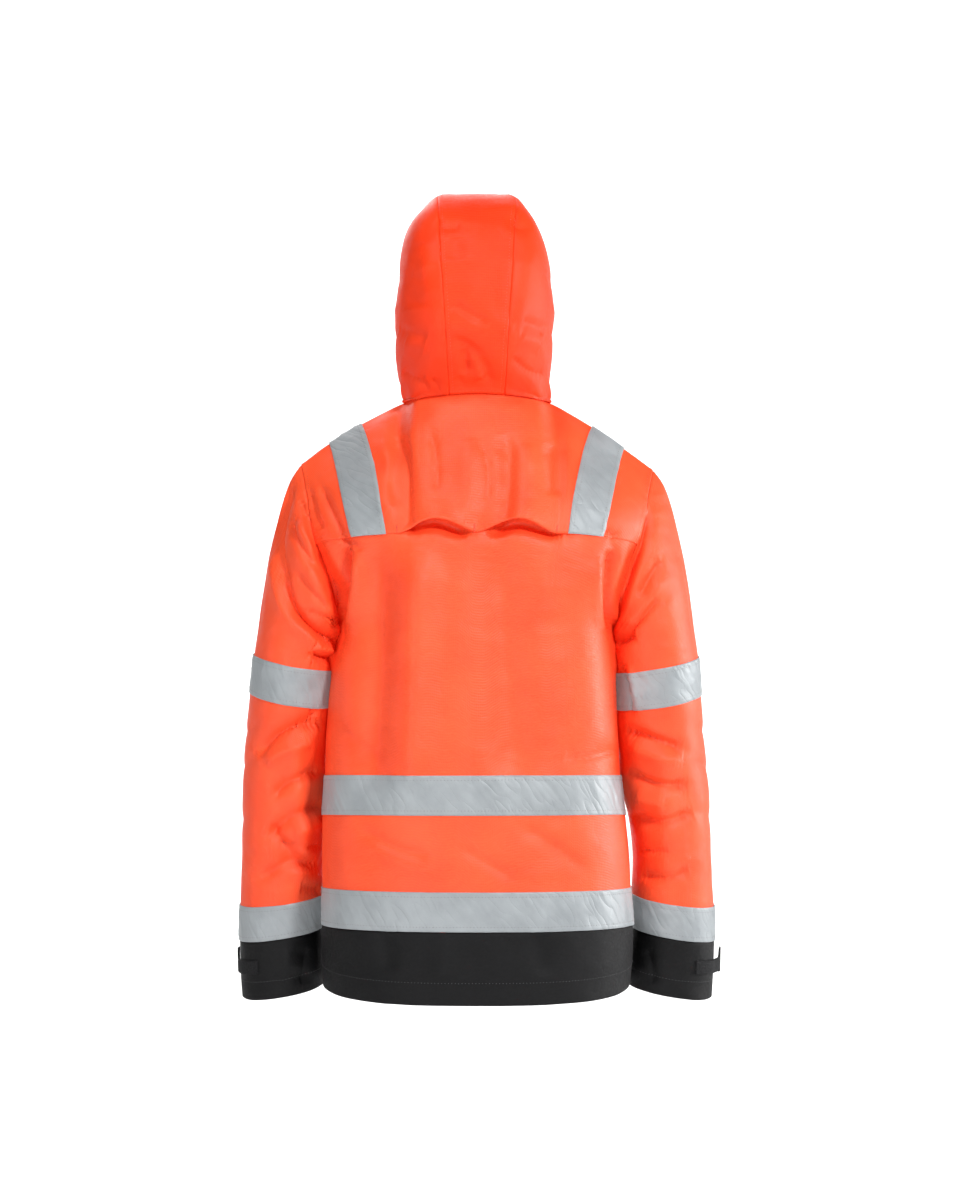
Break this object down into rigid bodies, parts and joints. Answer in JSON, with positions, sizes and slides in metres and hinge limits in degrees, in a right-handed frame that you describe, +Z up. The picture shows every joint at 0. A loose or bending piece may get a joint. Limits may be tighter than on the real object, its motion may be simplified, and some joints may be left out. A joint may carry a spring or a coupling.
{
  "type": "hi-vis work jacket with hood",
  "caption": "Hooded hi-vis work jacket with a front zip, a vented back yoke, reflective bands on body, shoulders and sleeves, and a dark hem and cuffs, hollow as worn.",
  "frame": {"origin": "in the middle of the neck, level with the side of the neck seam, where the wearer's neck and shoulders hold the jacket up", "axes": "+Z up; +Y towards the jacket's back; +X towards the wearer's left"},
  "size_m": [0.6297, 0.2976, 1.0285],
  "materials": {
    "hi_vis_shell": "matt orange-red coated polyester weave",
    "black_shell": "matt black coated polyester weave",
    "reflective_tape": "silver-grey glass-bead reflective tape",
    "hook_and_loop": "black hook-and-loop tape",
    "zip_cloth": "black woven zip tape",
    "zip_metal": "black enamelled zinc"
  },
  "bodies": {
    "jacket": {"back_body": "hi_vis_shell", "back_hem": "black_shell", "back_yoke": "hi_vis_shell", "collar": "hi_vis_shell", "cuff_left": "black_shell", "cuff_right": "black_shell", "cuff_tab_left": "hook_and_loop", "cuff_tab_right": "hook_and_loop", "elbow_tape_left": "reflective_tape", "elbow_tape_right": "reflective_tape", "forearm_tape_left": "reflective_tape", "forearm_tape_right": "reflective_tape", "front_hem_left": "black_shell", "front_hem_right": "black_shell", "front_left": "hi_vis_shell", "front_right": "hi_vis_shell", "hood_centre": "hi_vis_shell", "hood_left": "hi_vis_shell", "hood_right": "hi_vis_shell", "low_tape_back": "reflective_tape", "low_tape_left": "reflective_tape", "low_tape_right": "reflective_tape", "mid_tape_back": "reflective_tape", "mid_tape_left": "reflective_tape", "mid_tape_right": "reflective_tape", "shoulder_tape_left": "reflective_tape", "shoulder_tape_right": "reflective_tape", "sleeve_left_back": "hi_vis_shell", "sleeve_left_front": "hi_vis_shell", "sleeve_right_back": "hi_vis_shell", "sleeve_right_front": "hi_vis_shell", "zip_slider": "zip_metal", "zip_strip_left": "zip_cloth", "zip_strip_right": "zip_cloth"},
    "zip_pull": {"zip_pull": "zip_metal"}
  },
  "joints": [
    {"name": "zip_pull_swing", "type": "hinge", "parent": "jacket", "child": "zip_pull", "pos_m": [0, -0.0992, -0.008], "axis": [-1, 0, 0], "range_deg": [0, 160]}
  ]
}
